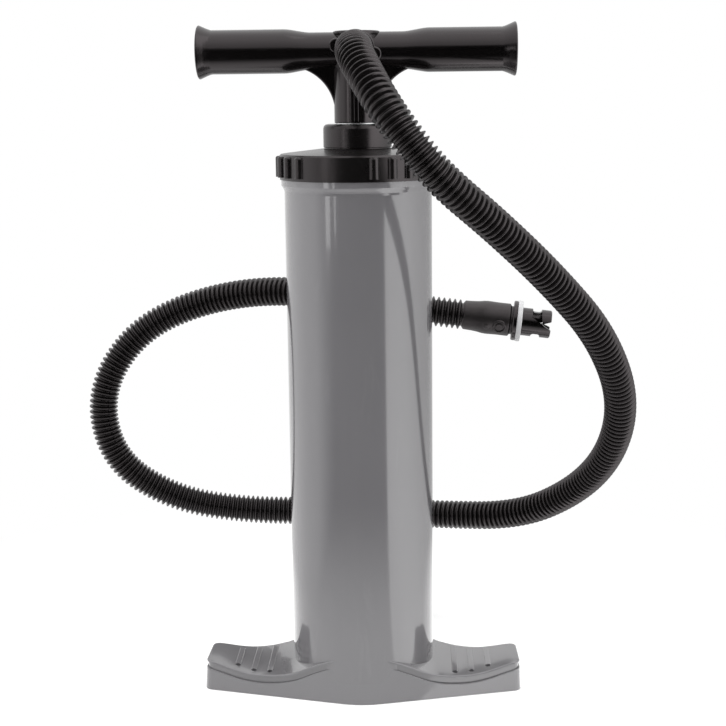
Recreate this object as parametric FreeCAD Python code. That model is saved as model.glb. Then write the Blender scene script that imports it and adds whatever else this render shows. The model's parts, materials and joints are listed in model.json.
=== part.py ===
import FreeCAD, Part
import os, math
from FreeCAD import Vector as V, Rotation, Placement

# Double action hand pump, handle fully down.
# Frame: +Z up, origin on the floor on the barrel's axis, +X along the handle, -Y the side the hose leaves.
# All sizes in millimetres.

# ---- driving dimensions -------------------------------------------------
barrel_r = 52.0            # outside of the barrel tube
barrel_wall = 3.0
bore_r = barrel_r - barrel_wall
floor_low, floor_top = 11.0, 14.0     # closed floor of the barrel
flange_r, flange_z0, flange_z1 = 54.2, 366.6, 371.9
neck_r, neck_top = 50.4, 385.0        # neck that the screw cap goes over

base_front_corner = (116.3, 25.8)      # plan of the standing base: it reaches further forward than back
base_back_corner = (115.4, 11.5)
base_back_y0 = 45.5                    # where the two rear sides would meet, inside the barrel
base_hub_r = 53.4                      # the front sides are tangent to this circle
base_round_front, base_round_back = 6.5, 7.0
base_wall = 3.0
pad_profile = [(0, 34.5), (18, 32.0), (28, 28.5), (36, 25.0), (48, 19.4), (62, 15.9), (75.5, 14.9), (88, 15.9), (98, 18.2), (106.5, 20.5), (113, 21.9), (120, 22.8)]
pad_drop, pad_plate = 6.0, 1.5         # depth of the recessed band under the pads' lip, thickness of the lip
pad_bar_x = [67.7, 79.8, 92.3]         # raised grip bars across each pad
pad_bar_front = [-29.1, -26.3, -20.5]
pad_bar_back = [20.0, 17.0, 10.5]
pad_bar_top = [16.1, 15.8, 17.5]
pad_bar_w = 4.2
pit_r = 1.5                            # small round pit at the front end of each bar

cap_r, cap_top_z, cap_ceiling = 55.0, 390.0, 387.0
cap_rib_r, cap_rib_n, cap_rib_w = 57.8, 23, 7.2
cap_rib_z0, cap_rib_z1 = 373.9, 388.4
cap_rib_phase, cap_rib_step = 13.5, 13.727      # degrees: first rib right of the plain stretch, and spacing
collar_r, collar_z0, collar_z1 = 24.0, 393.1, 409.9
sleeve_r, sleeve_z0 = 22.5, 354.0      # gland sleeve hanging under the cap

rod_r, rod_in = 15.0, 13.5
rod_run = 0.05                         # running clearance of rod and piston seal
rod_low, rod_high = 44.0, 410.6
tube_r, tube_in = 6.0, 4.8             # inner air tube

stroke = 292.0                         # the piston's boss stops 1 mm short of the top buffer

piston_z0, piston_z1 = 20.0, 44.0
piston_r = 47.6
seal_core_r = 42.0
seal_z0, seal_z1 = 28.0, 36.0

handle_z = 460.0                       # axis of the grips
grip_r, neck_grip_r = 15.1, 12.7
grip_end_x, handle_end_x = 100.8, 111.2
flare_r = 18.4
hub_x, hub_y, hub_z0, hub_z1 = 16.3, 18.0, 446.0, 473.2
stem_r, stem_z0 = 16.0, 410.6
port_r, port_depth = 9.0, 14.0

hose_d, hose_bore = 23.0, 17.0
plug_tilt = -13.0

# Route of the hose's centreline, from the plug in the handle to the nozzle.
hose_route = [
    (0.0, -36.0, 460.0), (-0.4, -66.7, 459.3), (7.2, -94.0, 445.4), (19.5, -113.2, 424.5),
    (37.4, -121.2, 399.6), (57.2, -119.0, 376.1), (90.9, -99.0, 346.9), (130.5, -69.0, 308.2),
    (167.7, -38.0, 265.0), (190.0, -1.0, 213.2), (187.6, 34.0, 164.0), (166.0, 72.8, 123.3),
    (122.8, 108.6, 91.9), (55.5, 135.5, 85.3), (-24.5, 152.1, 84.1), (-104.1, 159.4, 81.6),
    (-166.9, 151.5, 95.4), (-213.3, 138.5, 131.7), (-223.0, 135.2, 189.6), (-191.1, 140.1, 241.0),
    (-131.8, 140.0, 268.2), (-59.3, 118.0, 278.6), (11.2, 93.5, 268.3), (77.7, 90.0, 260.7)]

cuff_len, cuff_r0, cuff_r1 = 38.0, 11.25, 12.65
disc_r, disc_t = 15.4, 3.1             # nozzle flange
gasket_r, gasket_t = 15.8, 3.8
bayonet_r, bayonet_in, bayonet_len = 10.8, 7.4, 26.6

os.makedirs("parts", exist_ok=True)


def out(name, shape):
    try:
        r = shape.removeSplitter()
        if r.isValid() and len(r.Solids) == len(shape.Solids):
            shape = r
    except Exception:
        pass
    print("%-20s solids %d valid %s volume %.1f cm3" % (name, len(shape.Solids), shape.isValid(), shape.Volume / 1000.0))
    shape.exportStep("parts/%s.step" % name)
    return shape


def cyl(r, z0, z1, x=0.0, y=0.0):
    return Part.makeCylinder(r, z1 - z0, V(x, y, z0))


def ring(ro, ri, z0, z1):
    return cyl(ro, z0, z1).cut(cyl(ri, z0 - 1, z1 + 1))


def box(x0, x1, y0, y1, z0, z1):
    return Part.makeBox(x1 - x0, y1 - y0, z1 - z0, V(x0, y0, z0))


def revolve(points, axis_pt=V(0, 0, 0), axis=V(0, 0, 1)):
    # points are (radius, height) pairs in the XZ half plane
    pts = [V(p[0], 0, p[1]) for p in points]
    pts.append(pts[0])
    return Part.Face(Part.makePolygon(pts)).revolve(axis_pt, axis, 360)


def soften(shape, radius, pick):
    edges = [e for e in shape.Edges if pick(e)]
    if not edges:
        return shape
    for r in (radius, radius * 0.7, radius * 0.4):
        try:
            s = shape.makeFillet(r, edges)
            if s.isValid() and s.Volume > 0:
                return s
        except Exception:
            continue
    return shape


def along_x(shape):
    # a body of revolution made about Z, laid along +X at the height of the grips
    s = shape.copy()
    s.rotate(V(0, 0, 0), V(0, 1, 0), 90)
    s.translate(V(0, 0, handle_z))
    return s


# ---- standing base and barrel: one moulding ------------------------------
def base_outline(inset, hub=None):
    cx, cy = base_front_corner[0] - inset, base_front_corner[1] - inset * 0.8
    bx, by = base_back_corner[0] - inset, base_back_corner[1] - inset * 0.8
    y0 = base_back_y0 - inset
    r = hub if hub else base_hub_r - 1.8 * inset
    d = math.hypot(cx, cy)
    a = math.atan2(cy, cx) + math.acos(r / d)      # direction of the tangent point on the hub circle
    tx, ty = r * math.cos(a), r * math.sin(a)
    e = [Part.LineSegment(V(cx, -cy, 0), V(bx, by, 0)).toShape(),
         Part.LineSegment(V(bx, by, 0), V(0, y0, 0)).toShape(),
         Part.LineSegment(V(0, y0, 0), V(-bx, by, 0)).toShape(),
         Part.LineSegment(V(-bx, by, 0), V(-cx, -cy, 0)).toShape(),
         Part.LineSegment(V(-cx, -cy, 0), V(-tx, -ty, 0)).toShape(),
         Part.Arc(V(-tx, -ty, 0), V(0, -r, 0), V(tx, -ty, 0)).toShape(),
         Part.LineSegment(V(tx, -ty, 0), V(cx, -cy, 0)).toShape()]
    return Part.Wire(e)


def round_corners(shape):
    def corner(e, front):
        c = e.BoundBox.Center
        return e.BoundBox.ZLength > 5 and abs(c.x) > 100 and (c.y < 0) == front
    shape = soften(shape, base_round_front, lambda e: corner(e, True))
    return soften(shape, base_round_back, lambda e: corner(e, False))


def base_prism(inset, hub=None):
    return round_corners(Part.Face(base_outline(inset, hub)).extrude(V(0, 0, 40)))


def under_profile(drop):
    # everything below the pads' top surface lowered by drop; one smooth curve across the base
    pts = [V(-x, 0, z - drop) for x, z in reversed(pad_profile[1:])] + [V(x, 0, z - drop) for x, z in pad_profile]
    curve = Part.BSplineCurve()
    curve.interpolate(pts)
    x1 = pad_profile[-1][0]
    zl = pad_profile[-1][1] - drop
    e = [curve.toShape(), Part.LineSegment(V(x1, 0, zl), V(x1, 0, -5)).toShape(),
         Part.LineSegment(V(x1, 0, -5), V(-x1, 0, -5)).toShape(), Part.LineSegment(V(-x1, 0, -5), V(-x1, 0, zl)).toShape()]
    f = Part.Face(Part.Wire(e))
    f.translate(V(0, -80, 0))
    return f.extrude(V(0, 160, 0))


def profile_z(x):
    x = abs(x)
    for (x0, z0), (x1, z1) in zip(pad_profile, pad_profile[1:]):
        if x <= x1:
            return z0 + (z1 - z0) * (x - x0) / (x1 - x0)
    return pad_profile[-1][1]


def lip_top(e):
    p = e.valueAt((e.FirstParameter + e.LastParameter) / 2)
    return abs(p.z - profile_z(p.x)) < 0.9 and e.BoundBox.ZLength < 30 and not (e.BoundBox.XLength < 1 and e.BoundBox.YLength < 1)


# drafted lower wall, a recessed band above it, and the pads' overhanging lip
w1 = base_outline(2.1)
w1.translate(V(0, 0, 40))
lower_wall = round_corners(Part.makeLoft([base_outline(0), w1], True, True)).common(under_profile(pad_drop))
lower_wall = soften(lower_wall, 0.6, lambda e: e.BoundBox.ZMin > 3.0)
band = base_prism(1.9).common(under_profile(0.6))
lip = base_prism(1.0).common(under_profile(0)).cut(under_profile(pad_plate))
lip = soften(lip, 1.1, lambda e: e.BoundBox.ZMin > 12.0 and abs(e.BoundBox.Center.y) > -1 and lip_top(e))
foot = lower_wall.fuse([band, lip])
hollow = base_prism(base_wall + 0.9, 48.9).common(under_profile(base_wall))
hollow.translate(V(0, 0, -0.001))
hollow = hollow.cut(cyl(barrel_r, floor_low, 60))
for bx in (0.0, 62.0, 90.0):                       # stiffening ribs under the base
    for s in ((1, -1) if bx else (1,)):
        hollow = hollow.cut(box(s * bx - 1.3, s * bx + 1.3, -70, 70, 0 if bx == 0 else 3.0, 40))
hollow = hollow.cut(box(-120, 120, -1.5, 1.5, 0, 40))
skirt = ring(barrel_r, bore_r, 0.0, 12.0)
barrel = cyl(barrel_r, 5, flange_z0 + 2).fuse([foot, skirt])
# small cove where the pad meets the barrel's side
rim = revolve([(neck_r - 1, 362.8), (barrel_r, 362.8), (barrel_r + 0.25, 364.4), (barrel_r + 0.9, 365.8), (flange_r - 0.4, flange_z0 + 0.6), (flange_r, flange_z0 + 1.4), (flange_r, flange_z1), (neck_r - 1, flange_z1)])
shell = barrel.fuse([rim, cyl(neck_r, flange_z1 - 1, neck_top)])
shell = shell.cut(hollow).cut(cyl(bore_r, floor_top, neck_top + 1))
bars = []
for s in (1, -1):
    for i, bx in enumerate(pad_bar_x):
        b = box(s * bx - pad_bar_w / 2, s * bx + pad_bar_w / 2, pad_bar_front[i], pad_bar_back[i], 12.9, pad_bar_top[i])
        b = soften(b, 0.5, lambda e: e.BoundBox.ZMin > 14)
        bars.append(b)
shell = shell.fuse(bars)
for s in (1, -1):
    for i, bx in enumerate(pad_bar_x):
        shell = shell.cut(cyl(pit_r, 13.2 if i < 2 else 14.6, 22, s * bx, pad_bar_front[i] - 0.4))
out("barrel_and_base", shell)

# ---- screw cap with grip ribs --------------------------------------------
cap = revolve([(50.6, 372.0), (cap_r, 372.0), (cap_r, 388.4), (54.2, 389.6), (51.6, cap_top_z), (collar_r, collar_z0),
               (21.0, collar_z0), (21.0, 380.0), (20.0, 380.0), (20.0, 366.0), (20.0, sleeve_z0), (sleeve_r, sleeve_z0), (sleeve_r, 383.0),
               (26.0, cap_ceiling), (50.6, cap_ceiling)])
ribs = []
for k in range(cap_rib_n):
    a = cap_rib_phase + k * cap_rib_step
    r = cyl(cap_rib_w / 2, cap_rib_z0, cap_rib_z1, 0, -(cap_rib_r - cap_rib_w / 2))
    r = soften(r, 1.6, lambda e: e.BoundBox.ZMin > cap_rib_z1 - 0.01)
    r.rotate(V(0, 0, 0), V(0, 0, 1), a)
    ribs.append(r)
cap = cap.fuse(ribs)
out("screw_cap", cap)

collar = revolve([(17.6, collar_z0), (collar_r - 1.0, collar_z0), (collar_r - 1.0, collar_z0 + 0.6), (collar_r - 0.3, collar_z0 + 0.6), (collar_r, collar_z0 + 1.0), (collar_r, collar_z1 - 3.0), (collar_r - 0.5, collar_z1 - 1.4), (collar_r - 1.5, collar_z1 - 0.4),
                  (collar_r - 3.0, collar_z1), (15.6, collar_z1), (15.6, collar_z1 - 3.0), (17.6, collar_z1 - 3.0)])
out("rod_collar", collar)
out("guide_bush", ring(17.6, rod_r + rod_run, 380.0, collar_z1 - 3.0).fuse(ring(20.9, rod_r + rod_run, 380.0, 384.0)))
seal = revolve([(rod_r + rod_run, 371.0), (rod_r + rod_run, 373.4), (17.0, 374.2), (17.0, 377.6), (rod_r + rod_run + 1.2, 379.9), (20.0, 379.9), (20.0, 370.0), (17.0, 370.0)])
out("rod_seal", seal)
out("seal_retainer", ring(20.0, rod_r + 0.4, 366.5, 370.0))
out("top_buffer_ring", ring(20.0, rod_r + 0.6, 353.0, 366.5))
oring = ring(neck_r, 47.6, neck_top, cap_ceiling)
out("rim_seal_ring", oring)

# ---- piston ----------------------------------------------------------------
valve_xy = [(30.0, 0.0), (-30.0, 0.0), (0.0, 30.0), (0.0, -30.0)]
screw_xy = [(24.0, 24.0), (-24.0, 24.0), (-24.0, -24.0), (24.0, -24.0)]
lower = cyl(piston_r, piston_z0, seal_z0)
upper = cyl(seal_core_r, seal_z0, seal_z1 + 1).fuse(cyl(piston_r, seal_z1, piston_z1)).fuse(cyl(21.0, piston_z1 - 1, piston_z1 + 16.0))
upper = upper.cut(cyl(rod_r, rod_low, piston_z1 + 20)).cut(cyl(tube_r, 34.0, 60.0)).cut(cyl(3.5, 31.0, 40.0))
for x, y in screw_xy:
    lower = lower.cut(cyl(3.6, piston_z0 - 1, piston_z0 + 3.0, x, y)).cut(cyl(2.0, piston_z0, seal_z0 + 1, x, y))
    upper = upper.cut(cyl(2.0, seal_z0 - 1, 40.0, x, y))
for i, (x, y) in enumerate(valve_xy):
    if i < 2:
        upper = upper.cut(cyl(1.5, 40.0, 46, x, y))
        for k in range(4):
            a = math.radians(45 + 90 * k)
            upper = upper.cut(cyl(1.4, 38.0, 46, x + 5 * math.cos(a), y + 5 * math.sin(a)))
    else:
        lower = lower.cut(cyl(1.5, 18.0, 24.0, x, y))
        for k in range(4):
            a = math.radians(45 + 90 * k)
            lower = lower.cut(cyl(1.4, 18.0, 26.0, x + 5 * math.cos(a), y + 5 * math.sin(a)))
out("piston_lower_plate", lower)
out("piston_upper_plate", upper)
pseal = revolve([(seal_core_r + 0.05, seal_z0 + 0.1), (bore_r - 1.2, seal_z0 + 0.1), (bore_r - rod_run, seal_z0 + 1.3), (bore_r - rod_run, seal_z1 - 1.3), (bore_r - 1.2, seal_z1 - 0.1), (seal_core_r + 0.05, seal_z1 - 0.1)])
out("piston_seal", pseal)
screws = Part.makeCompound([cyl(3.4, piston_z0 + 0.4, piston_z0 + 3.0, x, y).cut(cyl(1.3, piston_z0, piston_z0 + 1.8, x, y)).fuse(cyl(2.0, piston_z0 + 2.9, 39.5, x, y)).removeSplitter() for x, y in screw_xy])
out("piston_screws", screws)
pins = []
for i, (x, y) in enumerate(valve_xy):
    if i < 2:
        pins.append(cyl(1.5, 40.0, 47.2, x, y).fuse(cyl(3.0, 47.1, 48.4, x, y)).removeSplitter())
    else:
        pins.append(cyl(1.5, 16.8, 24.0, x, y).fuse(cyl(3.0, 15.6, 16.9, x, y)).removeSplitter())
out("valve_pins", Part.makeCompound(pins))
names = ["valve_disc_upper_right", "valve_disc_upper_left", "valve_disc_lower_rear", "valve_disc_lower_front"]
for i, (x, y) in enumerate(valve_xy):
    z0, z1 = (44.05, 45.55) if i < 2 else (17.0, 18.5)
    out(names[i], cyl(8.0, z0, z1, x, y).cut(cyl(1.6, z0 - 1, z1 + 1, x, y)))

# ---- rod --------------------------------------------------------------------
pin_z = 396.0
rod = ring(rod_r, rod_in, rod_low, rod_high)
crosspin = Part.makeCylinder(2.0, 2 * 14.7, V(-14.7, 0, pin_z), V(1, 0, 0))
pinhole = Part.makeCylinder(2.0, 60, V(-30, 0, pin_z), V(1, 0, 0))
pin_l = Part.makeCylinder(2.0, 7.6, V(-14.7, 0, pin_z), V(1, 0, 0))
pin_r = Part.makeCylinder(2.0, 7.6, V(7.1, 0, pin_z), V(1, 0, 0))
rod = rod.cut(pinhole)
out("rod_tube", rod)
out("rod_pins", Part.makeCompound([pin_l, pin_r]))
out("inner_air_tube", ring(tube_r, tube_in, 34.0, 452.0))

# ---- handle -----------------------------------------------------------------
def ease(t):
    return t * t * (3 - 2 * t)


def swept_grip():
    # half profile of both grips and the narrower neck between them, smooth where the size changes
    x0, x1 = 51.0, 31.5
    side = []
    for k in (-1, 1):
        pts = [V(grip_r + (neck_grip_r - grip_r) * ease(i / 8.0), 0, k * (x0 + (x1 - x0) * i / 8.0)) for i in range(9)]
        c = Part.BSplineCurve()
        t = V(0, 0, -k)
        c.interpolate(Points=pts, InitialTangent=t, FinalTangent=t)
        side.append(c.toShape())
    L = lambda p, q: Part.LineSegment(V(p[0], 0, p[1]), V(q[0], 0, q[1])).toShape()
    e = [L((0, -grip_end_x), (grip_r, -grip_end_x)), L((grip_r, -grip_end_x), (grip_r, -x0)), side[0],
         L((neck_grip_r, -x1), (neck_grip_r, x1)), side[1], L((grip_r, x0), (grip_r, grip_end_x)),
         L((grip_r, grip_end_x), (0, grip_end_x)), L((0, grip_end_x), (0, -grip_end_x))]
    return Part.Face(Part.Wire(Part.__sortEdges__(e))).revolve(V(0, 0, 0), V(0, 0, 1), 360)


grip = along_x(swept_grip())
hub = revolve([(0, 440.0), (stem_r, 440.0), (stem_r, 447.0), (hub_x - 0.6, 449.0), (hub_x - 0.6, hub_z1 - 3.0), (hub_x, hub_z1 - 1.8), (hub_x, hub_z1 - 0.6), (hub_x - 0.6, hub_z1), (0, hub_z1)])
boss = Part.makeCylinder(13.6, 2 * hub_y, V(0, -hub_y, handle_z), V(0, 1, 0))
boss = soften(boss, 0.8, lambda e: True)
stem = cyl(stem_r, stem_z0, 452.0)
stem = soften(stem, 0.6, lambda e: e.BoundBox.ZMax < stem_z0 + 0.01)
webs = []
for s in (1, -1):
    arc = Part.Arc(V(s * 15.6, 0, 413.0), V(s * 20.9, 0, 435.2), V(s * 37.0, 0, 447.6)).toShape()
    w = Part.Face(Part.Wire([arc, Part.LineSegment(V(s * 37.0, 0, 447.6), V(s * 37.0, 0, 453.0)).toShape(),
                             Part.LineSegment(V(s * 37.0, 0, 453.0), V(s * 10, 0, 453.0)).toShape(),
                             Part.LineSegment(V(s * 10, 0, 453.0), V(s * 10, 0, 413.0)).toShape(),
                             Part.LineSegment(V(s * 10, 0, 413.0), V(s * 15.6, 0, 413.0)).toShape()]))
    w.translate(V(0, -3.5, 0))
    w = w.extrude(V(0, 7.0, 0))
    w = soften(w, 1.5, lambda e: e.Curve.TypeId == "Part::GeomCircle")
    webs.append(w)
spigot = cyl(rod_in - 0.02, 384.0, stem_z0 + 1)
seam = box(-1.6, 1.6, -stem_r - 0.8, -stem_r + 2, stem_z0 + 1.0, 449.0)
seam = soften(seam, 0.5, lambda e: e.BoundBox.YMax < -stem_r - 0.7)
seam_back = seam.mirror(V(0, 0, 0), V(0, 1, 0))
handle = grip.fuse([hub, stem, boss, spigot, seam, seam_back] + webs)
handle = handle.cut(cyl(tube_r, 380.0, 452.0)).cut(cyl(3.5, 450.0, handle_z))
handle = handle.cut(Part.makeCylinder(port_r, port_depth + 4, V(0, -hub_y - 4, handle_z), V(0, 1, 0)))      # front port
handle = handle.cut(Part.makeCylinder(4.0, 8, V(0, -6, handle_z), V(0, 1, 0)))
handle = handle.cut(Part.makeCylinder(port_r, 11 + 4, V(0, hub_y - 11, handle_z), V(0, 1, 0)))               # rear port
handle = handle.cut(cyl(2.0, 380.0, handle_z, 0, 9.6))
handle = handle.cut(pinhole)
for s in (1, -1):
    handle = handle.cut(Part.makeCylinder(9.0, 16.0, V(s * grip_end_x, 0, handle_z), V(-s, 0, 0)))
handle = handle.removeSplitter()
out("handle_tee", handle)
for s, name in ((1, "handle_end_cap_right"), (-1, "handle_end_cap_left")):
    c = revolve([(0.0, 88.0), (8.9, 88.0), (8.9, grip_end_x), (grip_r, grip_end_x), (grip_r + 0.15, 101.6), (grip_r + 0.65, 103.1), (grip_r + 1.4, 105.0), (grip_r + 2.3, 107.0),
                 (flare_r - 0.25, 108.7), (flare_r, 109.3), (flare_r - 0.05, 109.8), (flare_r - 0.5, 110.3), (flare_r - 1.6, 110.6), (12.0, 111.0), (6.0, 111.2), (0.0, handle_end_x)])
    c = along_x(c)
    if s < 0:
        c = c.mirror(V(0, 0, 0), V(1, 0, 0))
    out(name, c)

# ---- hose plug: spigot, two-eared twist-lock flange and collar ----------------
plug = Part.makeCylinder(8.95, port_depth - 2, V(0, -hub_y, handle_z), V(0, 1, 0))
ear = 13.4
pts = [V(ear, 0, 0), V(-ear, 0, 0)]
disc = Part.makeCylinder(13.6, 5.0, V(0, -hub_y - 5.0, 0), V(0, 1, 0))
lobes = [Part.makeCylinder(4.8, 5.0, V(s * ear, -hub_y - 5.0, 0), V(0, 1, 0)) for s in (1, -1)]
web = box(-ear, ear, -hub_y - 5.0, -hub_y, -4.8, 4.8)
flange = disc.fuse(lobes + [web]).removeSplitter()
flange = soften(flange, 1.2, lambda e: e.BoundBox.YMax < -hub_y - 4.9)
flange.rotate(V(0, 0, 0), V(0, 1, 0), -plug_tilt)
flange.translate(V(0, 0, handle_z))
neckp = Part.makeCylinder(12.4, -hub_y - 4.0 + 36.0, V(0, -36.0, handle_z), V(0, 1, 0))
plug = plug.fuse([flange, neckp]).cut(Part.makeCylinder(6.5, 60, V(0, -50, handle_z), V(0, 1, 0))).removeSplitter()
out("port_plug", plug)


# ---- hose: straight runs joined by tangent arcs --------------------------------
def route_wire(points):
    P = [V(*p) for p in points]
    edges, at = [], P[0]
    radii = []
    for i in range(1, len(P) - 1):
        a, b = P[i - 1].sub(P[i]), P[i + 1].sub(P[i])
        la, lb = a.Length, b.Length
        ua, ub = V(a).normalize(), V(b).normalize()
        turn = math.pi - ua.getAngle(ub)
        cut = 0.45 * min(la, lb)
        r = cut / math.tan(turn / 2)
        radii.append(r)
        s, e = P[i].add(V(ua).multiply(cut)), P[i].add(V(ub).multiply(cut))
        h = math.sqrt(cut * cut + r * r)
        bis = ua.add(ub).normalize()
        mid = P[i].add(bis.multiply(h - r))
        edges.append(Part.LineSegment(at, s).toShape())
        edges.append(Part.Arc(s, mid, e).toShape())
        at = e
    edges.append(Part.LineSegment(at, P[-1]).toShape())
    return Part.Wire(edges), radii


path, radii = route_wire(hose_route)
print("hose bend radii mm:", " ".join("%.0f" % r for r in radii), "length %.0f mm" % path.Length)


def tube(wire, radius):
    p0 = V(*hose_route[0])
    d = V(*hose_route[1]).sub(p0)
    circle = Part.Wire(Part.makeCircle(radius, p0, d))
    s = wire.makePipeShell([circle], True, False)
    if not s.Solids:
        s = Part.Solid(s)
    if s.Volume < 0:
        s.reverse()
    return s


outer, inner = tube(path, hose_d / 2), tube(path, hose_bore / 2)
hose = outer.cut(inner)
print("hose volume ratio %.4f" % (hose.Volume / (math.pi / 4 * (hose_d ** 2 - hose_bore ** 2) * path.Length)))
out("air_hose", hose)

# ---- nozzle: cuff on the hose, bayonet adaptor turning in it, gasket ---------------
tip = V(*hose_route[-1])
u = tip.sub(V(*hose_route[-2])).normalize()
front = V(0, -1, 0).sub(V(u).multiply(u.dot(V(0, -1, 0)))).normalize()
side = u.cross(front)
# nozzle frame: local Z along the nozzle, local X facing the front
m = FreeCAD.Matrix(front.x, side.x, u.x, tip.x, front.y, side.y, u.y, tip.y, front.z, side.z, u.z, tip.z, 0, 0, 0, 1)
if m.determinant() < 0:
    side = V(side).multiply(-1)
    m = FreeCAD.Matrix(front.x, side.x, u.x, tip.x, front.y, side.y, u.y, tip.y, front.z, side.z, u.z, tip.z, 0, 0, 0, 1)
place = Placement(m)


def set_nozzle(s):
    s = s.copy()
    s.Placement = place.multiply(s.Placement)
    return s


cuff = revolve([(7.0, 0.0), (cuff_r0 - 0.6, 0.0), (cuff_r0, 0.7), (11.35, 3.5), (11.55, 7.0), (11.85, 10.5), (12.25, 13.0), (12.65, 15.2), (12.85, 17.5), (12.85, 20.0), (12.7, 23.5), (12.6, 27.0), (12.62, 31.0), (cuff_r1, cuff_len - 3.2),
               (cuff_r1 - 0.2, cuff_len - 2.4), (cuff_r1 - 1.5, cuff_len - 1.6), (cuff_r1 - 1.7, cuff_len - 1.4), (cuff_r1 - 1.7, cuff_len), (9.0, cuff_len), (9.0, cuff_len - 26.0), (7.0, cuff_len - 26.0)])


def on_cuff(shape, z, down):
    # laid with local +Z pointing out of the cuff, at that distance along it and angle below the front
    sh = shape.copy()
    sh.rotate(V(0, 0, 0), V(0, 1, 0), 90)
    sh.rotate(V(0, 0, 0), V(0, 0, 1), down)
    sh.translate(V(0, 0, z))
    return sh


button = revolve([(0, 9.5), (5.6, 9.5), (5.6, 12.2), (5.2, 12.75), (4.4, 13.05), (3.9, 12.85), (3.6, 12.3), (3.3, 12.3), (3.1, 12.95), (2.4, 13.3), (0, 13.35)])
bump_small = revolve([(0, 9.5), (2.7, 9.5), (2.7, 12.6), (2.2, 12.95), (1.2, 13.2), (0, 13.25)])
cuff = cuff.fuse([on_cuff(button, 28.2, 22.0), on_cuff(bump_small, 18.4, 26.0)])
out("nozzle_cuff", set_nozzle(cuff))
z0 = cuff_len + 0.15
ad = revolve([(6.4, z0 - 25.5), (8.93, z0 - 25.5), (8.93, z0), (disc_r - 0.6, z0), (disc_r, z0 + 0.6), (disc_r, z0 + disc_t - 0.4), (disc_r - 0.4, z0 + disc_t),
              (bayonet_r, z0 + disc_t), (bayonet_r, z0 + disc_t + bayonet_len - 0.8), (bayonet_r - 0.8, z0 + disc_t + bayonet_len), (bayonet_in, z0 + disc_t + bayonet_len), (bayonet_in, z0 + disc_t), (6.4, z0 + disc_t)])
zb = z0 + disc_t
# two slots, one on each side: a V mouth at the tip, a slanting run, and a notch across the top or bottom
zt = zb + bayonet_len
slot = [(1.5, -3.75), (-6.7, -0.88), (-7.7, -7.6), (-7.7, -13.0), (-14.8, -13.0), (-14.8, -6.5), (-15.4, -5.45), (1.5, 4.45)]
face = Part.Face(Part.makePolygon([V(0, y, zt + z) for z, y in slot + slot[:1]]))
front_slot = face.extrude(V(15, 0, 0))
back_slot = front_slot.copy()
back_slot.rotate(V(0, 0, 0), V(0, 0, 1), 180)
ad = ad.cut(front_slot).cut(back_slot)
for k in (1, -1):
    notch = box(-15, 15, 7.8, 13, zt - 14.8, zt - 7.7) if k > 0 else box(-15, 15, -13, -7.8, zt - 14.8, zt - 7.7)
    notch = soften(notch, 2.2, lambda e: e.BoundBox.XLength > 20 and abs(abs(e.BoundBox.Center.y) - 7.8) < 0.1)
    ad = ad.cut(notch)
out("bayonet_adaptor", set_nozzle(ad))
gas = ring(gasket_r, bayonet_r + 0.02, zb, zb + gasket_t)
gas = soften(gas, 0.8, lambda e: e.BoundBox.XLength > 2 * gasket_r - 0.1)
out("nozzle_gasket", set_nozzle(gas))
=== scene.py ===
import bpy, bmesh, math, json
import numpy as np
from mathutils import Vector, Matrix, Quaternion


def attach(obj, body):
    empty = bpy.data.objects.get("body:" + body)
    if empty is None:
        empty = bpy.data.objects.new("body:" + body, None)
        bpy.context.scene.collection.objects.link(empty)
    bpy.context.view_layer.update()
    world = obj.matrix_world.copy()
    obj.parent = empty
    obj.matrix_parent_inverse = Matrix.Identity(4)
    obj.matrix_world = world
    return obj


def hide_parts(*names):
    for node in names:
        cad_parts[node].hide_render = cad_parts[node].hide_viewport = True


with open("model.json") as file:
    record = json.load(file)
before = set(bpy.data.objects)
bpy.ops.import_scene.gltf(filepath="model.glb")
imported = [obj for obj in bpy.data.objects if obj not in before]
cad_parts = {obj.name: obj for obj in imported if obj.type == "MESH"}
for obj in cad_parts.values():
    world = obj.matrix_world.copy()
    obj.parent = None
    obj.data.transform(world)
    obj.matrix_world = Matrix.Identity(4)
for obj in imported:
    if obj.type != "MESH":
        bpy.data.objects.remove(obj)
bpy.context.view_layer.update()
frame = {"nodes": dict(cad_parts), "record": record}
NODES = frame["nodes"]
MM = 0.001


# ------------------------------------------------------------------ helpers
def new_mesh(name, verts, faces, smooth=True):
    me = bpy.data.meshes.new(name)
    me.from_pydata([tuple(map(float, v)) for v in verts], [], [tuple(int(i) for i in f) for f in faces])
    me.validate()
    me.update()
    ob = bpy.data.objects.new(name, me)
    bpy.context.scene.collection.objects.link(ob)
    if smooth:
        for p in me.polygons:
            p.use_smooth = True
    return ob


def tree(name):
    m = bpy.data.materials.new(name)
    m.use_nodes = True
    nt = m.node_tree
    return m, nt, nt.nodes["Principled BSDF"]


def node(nt, kind, **kw):
    n = nt.nodes.new(kind)
    for k, v in kw.items():
        if k.startswith("in_"):
            n.inputs[k[3:].replace("_", " ")].default_value = v
        else:
            setattr(n, k, v)
    return n


def coords(nt, scale=(1, 1, 1)):
    tc = node(nt, "ShaderNodeTexCoord")
    mp = node(nt, "ShaderNodeMapping")
    mp.inputs["Scale"].default_value = scale
    nt.links.new(tc.outputs["Object"], mp.inputs["Vector"])
    return mp.outputs["Vector"]


def noise(nt, vec, scale, detail=4.0, rough=0.55, dist=0.0):
    n = node(nt, "ShaderNodeTexNoise")
    n.inputs["Scale"].default_value = scale
    n.inputs["Detail"].default_value = detail
    n.inputs["Roughness"].default_value = rough
    n.inputs["Distortion"].default_value = dist
    nt.links.new(vec, n.inputs["Vector"])
    return n.outputs["Fac"]


def remap(nt, fac, a, b, lo, hi):
    r = node(nt, "ShaderNodeMapRange")
    r.inputs["From Min"].default_value = a
    r.inputs["From Max"].default_value = b
    r.inputs["To Min"].default_value = lo
    r.inputs["To Max"].default_value = hi
    nt.links.new(fac, r.inputs["Value"])
    return r.outputs["Result"]


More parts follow.
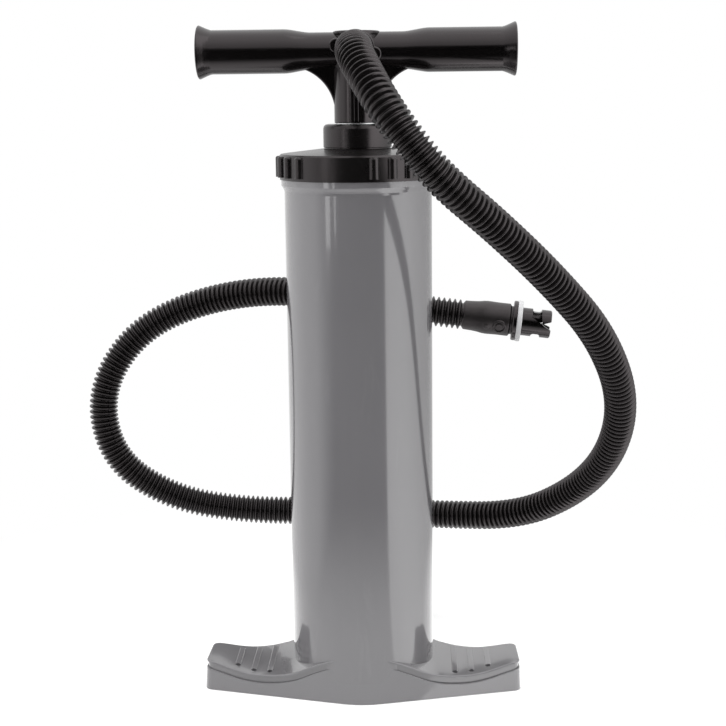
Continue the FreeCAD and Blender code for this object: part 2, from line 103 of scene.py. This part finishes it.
def ramp(nt, fac, stops):
    r = node(nt, "ShaderNodeValToRGB")
    els = r.color_ramp.elements
    while len(els) < len(stops):
        els.new(0.5)
    for e, (p, c) in zip(els, stops):
        e.position = p
        e.color = (*c, 1)
    nt.links.new(fac, r.inputs["Fac"])
    return r.outputs["Color"]


def mathn(nt, op, a, b=None, clamp=False):
    n = node(nt, "ShaderNodeMath", operation=op, use_clamp=clamp)
    for i, v in enumerate((a, b)):
        if v is None:
            continue
        if isinstance(v, (int, float)):
            n.inputs[i].default_value = v
        else:
            nt.links.new(v, n.inputs[i])
    return n.outputs[0]


def mixc(nt, fac, a, b):
    n = node(nt, "ShaderNodeMix", data_type="RGBA")
    nt.links.new(fac, n.inputs["Factor"])
    for key, v in (("A", a), ("B", b)):
        s = [i for i in n.inputs if i.name == key and i.type == "RGBA"][0]
        if isinstance(v, (tuple, list)):
            s.default_value = (*v, 1)
        else:
            nt.links.new(v, s)
    return [o for o in n.outputs if o.type == "RGBA"][0]


def bump(nt, bsdf, height, strength, dist, prev=None):
    b = node(nt, "ShaderNodeBump")
    b.inputs["Strength"].default_value = strength
    b.inputs["Distance"].default_value = dist
    nt.links.new(height, b.inputs["Height"])
    if prev is not None:
        nt.links.new(prev, b.inputs["Normal"])
    nt.links.new(b.outputs["Normal"], bsdf.inputs["Normal"])
    return b.outputs["Normal"]


# ---------------------------------------------------------------- materials
def plastic(name, c0, c1, rough, rough_var, grain=900.0, grain_s=0.12, peel_s=0.10, coat=0.0, coat_rough=0.06, wear=(0.1, 0.1, 0.1), spec=0.5, tint=(1.0, 1.0, 1.0), peel_scale=60.0, scuff_amt=0.10, scuff_scale=(60, 60, 500)):
    m, nt, b = tree(name)
    v = coords(nt)
    tone = noise(nt, v, 9.0, 5.0)
    col = ramp(nt, remap(nt, tone, 0.3, 0.7, 0, 1), [(0.0, c0), (1.0, c1)])
    # light scuffs and handling marks, longer than they are wide
    vs = coords(nt, scuff_scale)
    scuff = remap(nt, noise(nt, vs, 1.0, 6.0, 0.65, 0.4), 0.60, 0.74, 0.0, 1.0)
    col = mixc(nt, mathn(nt, "MULTIPLY", scuff, scuff_amt), col, wear)
    nt.links.new(col, b.inputs["Base Color"])
    r = remap(nt, noise(nt, v, 26.0, 4.0), 0.3, 0.7, rough - rough_var, rough + rough_var)
    r = mathn(nt, "ADD", r, mathn(nt, "MULTIPLY", scuff, 0.10))
    nt.links.new(r, b.inputs["Roughness"])
    b.inputs["Specular IOR Level"].default_value = spec
    b.inputs["IOR"].default_value = 1.50
    b.inputs["Specular Tint"].default_value = (*tint, 1)
    b.inputs["Coat Weight"].default_value = coat
    b.inputs["Coat Roughness"].default_value = coat_rough
    n1 = bump(nt, b, noise(nt, v, peel_scale, 2.0), peel_s, 0.0006)
    bump(nt, b, noise(nt, v, grain, 3.0), grain_s, 0.00006, n1)
    return m


MAT = {}
WARM = (1.0, 0.905, 0.93)
MAT["barrel_grey"] = plastic("grey_moulded_plastic", (0.1175, 0.1140, 0.1205), (0.1270, 0.1235, 0.1300), 0.17, 0.02, grain=1500, grain_s=0.05, peel_s=0.022, peel_scale=42, coat=0.8, coat_rough=0.05,
                             wear=(0.30, 0.30, 0.31), scuff_amt=0.05, scuff_scale=(70, 70, 14))
MAT["black_cap"] = plastic("black_moulded_plastic", (0.0022, 0.0020, 0.0020), (0.0036, 0.0033, 0.0032), 0.27, 0.04, grain=1900, grain_s=0.10, peel_s=0.05, wear=(0.06, 0.06, 0.06), scuff_amt=0.05, tint=WARM)
MAT["black_handle"] = plastic("black_handle_plastic", (0.0014, 0.0012, 0.0012), (0.0024, 0.0021, 0.0021), 0.19, 0.03, grain=1700, grain_s=0.07, peel_s=0.06, wear=(0.055, 0.052, 0.05), scuff_scale=(40, 260, 260), scuff_amt=0.05, tint=WARM)
MAT["hose_black"] = plastic("hose_flexible_plastic", (0.0022, 0.0020, 0.0019), (0.0038, 0.0035, 0.0034), 0.25, 0.04, grain=1600, grain_s=0.14, peel_s=0.05, wear=(0.06, 0.058, 0.056), scuff_scale=(120, 120, 120), scuff_amt=0.08, tint=WARM)
matt_cuff = plastic("cuff_flexible_plastic", (0.0060, 0.0054, 0.0053), (0.0095, 0.0088, 0.0086), 0.42, 0.05, grain=1500, grain_s=0.22, peel_s=0.14, peel_scale=160, wear=(0.06, 0.058, 0.056), scuff_scale=(160, 160, 160), scuff_amt=0.10, tint=WARM)
MAT["gasket_grey"] = plastic("gasket_rubber", (0.44, 0.44, 0.445), (0.47, 0.47, 0.475), 0.62, 0.04, grain=1200, grain_s=0.05, peel_s=0.02, wear=(0.35, 0.35, 0.35), spec=0.25, scuff_scale=(200, 200, 200), scuff_amt=0.03)
MAT["seal_black"] = plastic("seal_rubber", (0.020, 0.020, 0.020), (0.030, 0.030, 0.030), 0.6, 0.06, grain=1500, grain_s=0.35, peel_s=0.05, wear=(0.08, 0.08, 0.08), spec=0.35, scuff_scale=(200, 200, 200))
MAT["inner_white"] = plastic("nylon", (0.74, 0.73, 0.70), (0.80, 0.79, 0.77), 0.42, 0.05, grain=1500, grain_s=0.15, peel_s=0.05, wear=(0.6, 0.6, 0.58), scuff_scale=(120, 120, 120))


def metal(name, c0, c1, rough, streak=(500, 500, 12), metallic=1.0):
    m, nt, b = tree(name)
    vs = coords(nt, streak)
    lines = noise(nt, vs, 1.0, 5.0, 0.6)
    v = coords(nt)
    nt.links.new(ramp(nt, remap(nt, noise(nt, v, 20.0), 0.3, 0.7, 0, 1), [(0, c0), (1, c1)]), b.inputs["Base Color"])
    nt.links.new(remap(nt, lines, 0.3, 0.7, rough - 0.05, rough + 0.08), b.inputs["Roughness"])
    b.inputs["Metallic"].default_value = metallic
    bump(nt, b, lines, 0.15, 0.00003)
    return m


MAT["rod_aluminium"] = metal("drawn_aluminium", (0.84, 0.85, 0.86), (0.90, 0.90, 0.91), 0.34, metallic=0.62)
MAT["screw_steel"] = metal("plain_steel", (0.55, 0.55, 0.56), (0.63, 0.63, 0.64), 0.30, (300, 300, 300))

SLOT = {s["node"]: s["material_slot"] for s in frame["record"]["subparts"]}
for name, ob in NODES.items():
    m = matt_cuff if name == "nozzle_cuff" else MAT[SLOT[name]]
    if not ob.material_slots:
        ob.data.materials.append(m)
    for s in ob.material_slots:
        s.material = m

# ------------------------------------------------------------------- camera
F_PX, D, CZ, PITCH, AZ, ROLL, YAW = 1408.0, 1000.5, 425.2, 10.521, 2.26, 0.685, 0.113
a, p, k, y = map(math.radians, (AZ, PITCH, ROLL, YAW))
C = np.array([D * math.sin(a), -D * math.cos(a), CZ])
fw = np.array([-math.sin(a), math.cos(a), 0.0])
o = fw * math.cos(p) + np.array([0, 0, -math.sin(p)])
up = fw * math.sin(p) + np.array([0, 0, math.cos(p)])
rt = np.cross(o, up)
o, rt = o * math.cos(y) + rt * math.sin(y), rt * math.cos(y) - o * math.sin(y)
rt, up = rt * math.cos(k) - up * math.sin(k), up * math.cos(k) + rt * math.sin(k)
cam_data = bpy.data.cameras.new("camera")
cam = bpy.data.objects.new("camera", cam_data)
bpy.context.scene.collection.objects.link(cam)
cam_data.sensor_width = 36.0
cam_data.lens = F_PX / 726.0 * 36.0
cam_data.clip_start, cam_data.clip_end = 0.02, 50.0
mw = Matrix.Identity(4)
for i in range(3):
    mw[i][0], mw[i][1], mw[i][2], mw[i][3] = rt[i], up[i], -o[i], C[i] * MM
cam.matrix_world = mw
bpy.context.scene.camera = cam

# --------------------------------------------------------------------- hose
ROUTE = [
    (0.0, -36.0, 460.0), (-0.4, -66.7, 459.3), (7.2, -94.0, 445.4), (19.5, -113.2, 424.5),
    (37.4, -121.2, 399.6), (57.2, -119.0, 376.1), (90.9, -99.0, 346.9), (130.5, -69.0, 308.2),
    (167.7, -38.0, 265.0), (190.0, -1.0, 213.2), (187.6, 34.0, 164.0), (166.0, 72.8, 123.3),
    (122.8, 108.6, 91.9), (55.5, 135.5, 85.3), (-24.5, 152.1, 84.1), (-104.1, 159.4, 81.6),
    (-166.9, 151.5, 95.4), (-213.3, 138.5, 131.7), (-223.0, 135.2, 189.6), (-191.1, 140.1, 241.0),
    (-131.8, 140.0, 268.2), (-59.3, 118.0, 278.6), (11.2, 93.5, 268.3), (77.7, 90.0, 260.7)]
cu = bpy.data.curves.new("hose_route", "CURVE")
cu.dimensions = "3D"
sp = cu.splines.new("NURBS")
sp.points.add(len(ROUTE) - 1)
for pt, q in zip(sp.points, ROUTE):
    pt.co = (q[0] * MM, q[1] * MM, q[2] * MM, 1.0)
sp.order_u = 3
sp.use_endpoint_u = True
sp.resolution_u = 40
cu_ob = bpy.data.objects.new("hose_route", cu)
bpy.context.scene.collection.objects.link(cu_ob)
bpy.context.view_layer.update()
line = bpy.data.meshes.new_from_object(cu_ob)
LINE = np.array([v.co[:] for v in line.vertices])
bpy.data.objects.remove(cu_ob)
seg = np.linalg.norm(np.diff(LINE, axis=0), axis=1)
LINE = LINE[np.r_[True, seg > 1e-9]]
S = np.r_[0, np.cumsum(np.linalg.norm(np.diff(LINE, axis=0), axis=1))]
HOSE_LEN = float(S[-1])


def frames_along(s_values):
    P = np.stack([np.interp(s_values, S, LINE[:, i]) for i in range(3)], 1)
    e = 0.0015
    A = np.stack([np.interp(np.clip(s_values - e, 0, HOSE_LEN), S, LINE[:, i]) for i in range(3)], 1)
    B = np.stack([np.interp(np.clip(s_values + e, 0, HOSE_LEN), S, LINE[:, i]) for i in range(3)], 1)
    T = B - A
    T /= np.linalg.norm(T, axis=1)[:, None]
    n = np.cross(T[0], [1.0, 0, 0])
    n /= np.linalg.norm(n)
    N = [n]
    for i in range(1, len(T)):
        n = N[-1] - T[i] * (N[-1] @ T[i])
        N.append(n / np.linalg.norm(n))
    N = np.array(N)
    return P, T, N, np.cross(T, N)


def hose_profile():
    # radius along the hose: narrow rings with open grooves between them. The rings sit a little
    # further apart over the plug's barb and towards the nozzle, and the first ones are swollen by the barb.
    crest, root = 11.6, 8.8
    total = HOSE_LEN / MM
    marks = [1.5]
    while marks[-1] < total - 3.0:
        q = marks[-1]
        t0, t1 = min(max(1 - q / 95.0, 0), 1), min(max((q - total + 240) / 150.0, 0), 1)
        marks.append(q + 4.1 + 0.40 * t0 * t0 * (3 - 2 * t0) + 0.14 * t1 * t1 * (3 - 2 * t1))
    marks = 1.5 + (np.array(marks) - 1.5) * (total - 3.0) / (marks[-1] - 1.5)
    s, r = [0.0, 1.4], [crest - 1.0, crest - 1.0]
    shape = [(0.00, 0.0), (0.08, 0.03), (0.16, 0.16), (0.24, 0.42), (0.31, 0.70), (0.38, 0.90), (0.43, 0.985), (0.50, 1.0), (0.57, 0.985), (0.62, 0.90), (0.69, 0.70), (0.76, 0.42), (0.84, 0.16), (0.92, 0.03)]
    for m0, m1 in zip(marks, marks[1:]):
        for t, h in shape:
            s.append(m0 + (m1 - m0) * t)
            r.append(root + (crest - root) * h)
    s += [total - 1.4, total]
    r += [root, crest - 1.0]
    s, r = np.array(s), np.array(r)
    t = np.clip((125.0 - s) / 105.0, 0, 1)
    r = r * (1.0 + 0.085 * t * t * (3 - 2 * t))
    return s * MM, r * MM


def lathe_along(name, s, r, around=48):
    P, T, N, Bn = frames_along(s)
    ang = np.linspace(0, 2 * math.pi, around, endpoint=False)
    ring = np.cos(ang)[None, :, None] * N[:, None, :] + np.sin(ang)[None, :, None] * Bn[:, None, :]
    V = P[:, None, :] + ring * r[:, None, None]
    V = V.reshape(-1, 3)
    F = []
    for i in range(len(s) - 1):
        b0, b1 = i * around, (i + 1) * around
        for j in range(around):
            q = (j + 1) % around
            F.append((b0 + j, b0 + q, b1 + q, b1 + j))
    F.append(tuple(range(around - 1, -1, -1)))
    last = (len(s) - 1) * around
    F.append(tuple(last + j for j in range(around)))
    return new_mesh(name, V, F)


s_h, r_h = hose_profile()
hose = lathe_along("corrugated_hose", s_h, r_h)
hose.data.materials.append(MAT["hose_black"])
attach(hose, "handle")
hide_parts("air_hose")

# -------------------------------------------------------------------- stage
bpy.ops.mesh.primitive_plane_add(size=8.0, location=(0, 0, -0.0002))
floor = bpy.context.object
floor.name = "floor"


def smooth(nt, sock, a0, a1, lo, hi):
    r = nt.nodes.new("ShaderNodeMapRange")
    r.interpolation_type = "SMOOTHSTEP"
    nt.links.new(sock, r.inputs["Value"])
    for key, v in (("From Min", a0), ("From Max", a1), ("To Min", lo), ("To Max", hi)):
        r.inputs[key].default_value = v
    return r.outputs["Result"]


def studio_sides(nt, x, y):
    # bright walls to both sides and behind, a dark room straight in front; the right wall ends sharply
    r = mathn(nt, "MAXIMUM", mathn(nt, "SQRT", mathn(nt, "ADD", mathn(nt, "MULTIPLY", x, x), mathn(nt, "MULTIPLY", y, y))), 0.0001)
    c = mathn(nt, "DIVIDE", y, r)
    right = mathn(nt, "GREATER_THAN", x, 0.0)
    left_wall = mathn(nt, "MULTIPLY", mathn(nt, "MULTIPLY", smooth(nt, c, -0.86, -0.30, 0.006, 1.25), smooth(nt, c, 0.2, 0.95, 1.0, 0.72)), mathn(nt, "SUBTRACT", 1.0, right))
    right_wall = mathn(nt, "MULTIPLY", mathn(nt, "MULTIPLY", smooth(nt, c, -0.765, -0.72, 0.003, 1.0), smooth(nt, c, -0.5, 0.85, 2.5, 0.62)), right)
    return mathn(nt, "ADD", left_wall, right_wall), r, c


m, nt, b = tree("floor_white")
b.inputs["Roughness"].default_value = 0.7
b.inputs["Specular IOR Level"].default_value = 0.2
b.inputs["Base Color"].default_value = (0.97, 0.97, 0.97, 1)
lp = node(nt, "ShaderNodeLightPath")
tcf = node(nt, "ShaderNodeTexCoord")
sxf = node(nt, "ShaderNodeSeparateXYZ")
nt.links.new(tcf.outputs["Object"], sxf.inputs[0])
walls, rad, _c = studio_sides(nt, sxf.outputs["X"], sxf.outputs["Y"])
near = smooth(nt, rad, 0.15, 0.58, 1.45, 0.03)
em = node(nt, "ShaderNodeEmission")
nt.links.new(mathn(nt, "MAXIMUM", near, walls), em.inputs["Strength"])
ms = node(nt, "ShaderNodeMixShader")
nt.links.new(lp.outputs["Is Glossy Ray"], ms.inputs["Fac"])
nt.links.new(b.outputs[0], ms.inputs[1])
nt.links.new(em.outputs[0], ms.inputs[2])
far = node(nt, "ShaderNodeEmission")
far.inputs["Strength"].default_value = 1.0
mc = node(nt, "ShaderNodeMixShader")
nt.links.new(mathn(nt, "MULTIPLY", lp.outputs["Is Camera Ray"], smooth(nt, rad, 0.22, 0.50, 0.0, 1.0)), mc.inputs["Fac"])
nt.links.new(ms.outputs[0], mc.inputs[1])
nt.links.new(far.outputs[0], mc.inputs[2])
nt.links.new(mc.outputs[0], nt.nodes["Material Output"].inputs["Surface"])
floor.data.materials.append(m)

world = bpy.data.worlds.new("studio")
bpy.context.scene.world = world
world.use_nodes = True
wt = world.node_tree
bg = wt.nodes["Background"]
tc = wt.nodes.new("ShaderNodeTexCoord")
sx = wt.nodes.new("ShaderNodeSeparateXYZ")
wt.links.new(tc.outputs["Generated"], sx.inputs[0])
walls, _r, side = studio_sides(wt, sx.outputs["X"], sx.outputs["Y"])
behind = smooth(wt, side, 0.0, 0.5, 0.0, 1.0)
low_back = mathn(wt, "MULTIPLY", smooth(wt, sx.outputs["Z"], 0.06, 0.20, 0.0, 1.0), behind)
sky = mathn(wt, "ADD", mathn(wt, "MAXIMUM", smooth(wt, sx.outputs["Z"], 0.24, 0.36, 0.0, 1.0), low_back), smooth(wt, sx.outputs["Z"], 0.40, 1.0, 0.0, 0.7))
refl = mathn(wt, "MAXIMUM", walls, sky)
lpw = wt.nodes.new("ShaderNodeLightPath")
mixw = wt.nodes.new("ShaderNodeMix")
wt.links.new(lpw.outputs["Is Glossy Ray"], mixw.inputs["Factor"])
mixw.inputs["A"].default_value = 0.80
wt.links.new(refl, mixw.inputs["B"])
cr = wt.nodes.new("ShaderNodeMix")
wt.links.new(lpw.outputs["Is Camera Ray"], cr.inputs["Factor"])
wt.links.new(mixw.outputs["Result"], cr.inputs["A"])
cr.inputs["B"].default_value = 1.0
wt.links.new(cr.outputs["Result"], bg.inputs["Color"])
bg.inputs["Strength"].default_value = 1.0


def area(name, loc, target, size, power, sy=None, color=(1, 1, 1), shine=True):
    d = bpy.data.lights.new(name, "AREA")
    d.shape = "RECTANGLE" if sy else "SQUARE"
    d.size = size
    if sy:
        d.size_y = sy
    d.energy = power
    d.color = color
    ob = bpy.data.objects.new(name, d)
    bpy.context.scene.collection.objects.link(ob)
    ob.location = loc
    ob.visible_camera = False
    ob.visible_glossy = shine
    ob.rotation_euler = (Vector(target) - Vector(loc)).to_track_quat("-Z", "Y").to_euler()
    return ob


def at(az, dist, z):
    # a place at that azimuth, degrees from straight in front, positive to the right
    return (dist * math.sin(math.radians(az)), -dist * math.cos(math.radians(az)), z)


area("strip_left_a", at(-45, 1.25, 0.385), (0, 0, 0.385), 0.165, 0.50, sy=0.36)
area("strip_left_b", at(-33.5, 1.25, 0.40), (0, 0, 0.40), 0.070, 0.20, sy=0.35)
area("top_diffuse", (0.0, -0.15, 1.5), (0, 0, 0.1), 1.4, 26.0, shine=False)
area("side_right", at(80, 1.9, 0.7), (0, 0, 0.25), 0.7, 6.0, sy=1.2, shine=False)
area("side_left", at(-80, 1.9, 0.7), (0, 0, 0.25), 0.7, 5.0, sy=1.2, shine=False)
bpy.context.scene.view_settings.view_transform = "Standard"
bpy.context.scene.view_settings.look = "None"
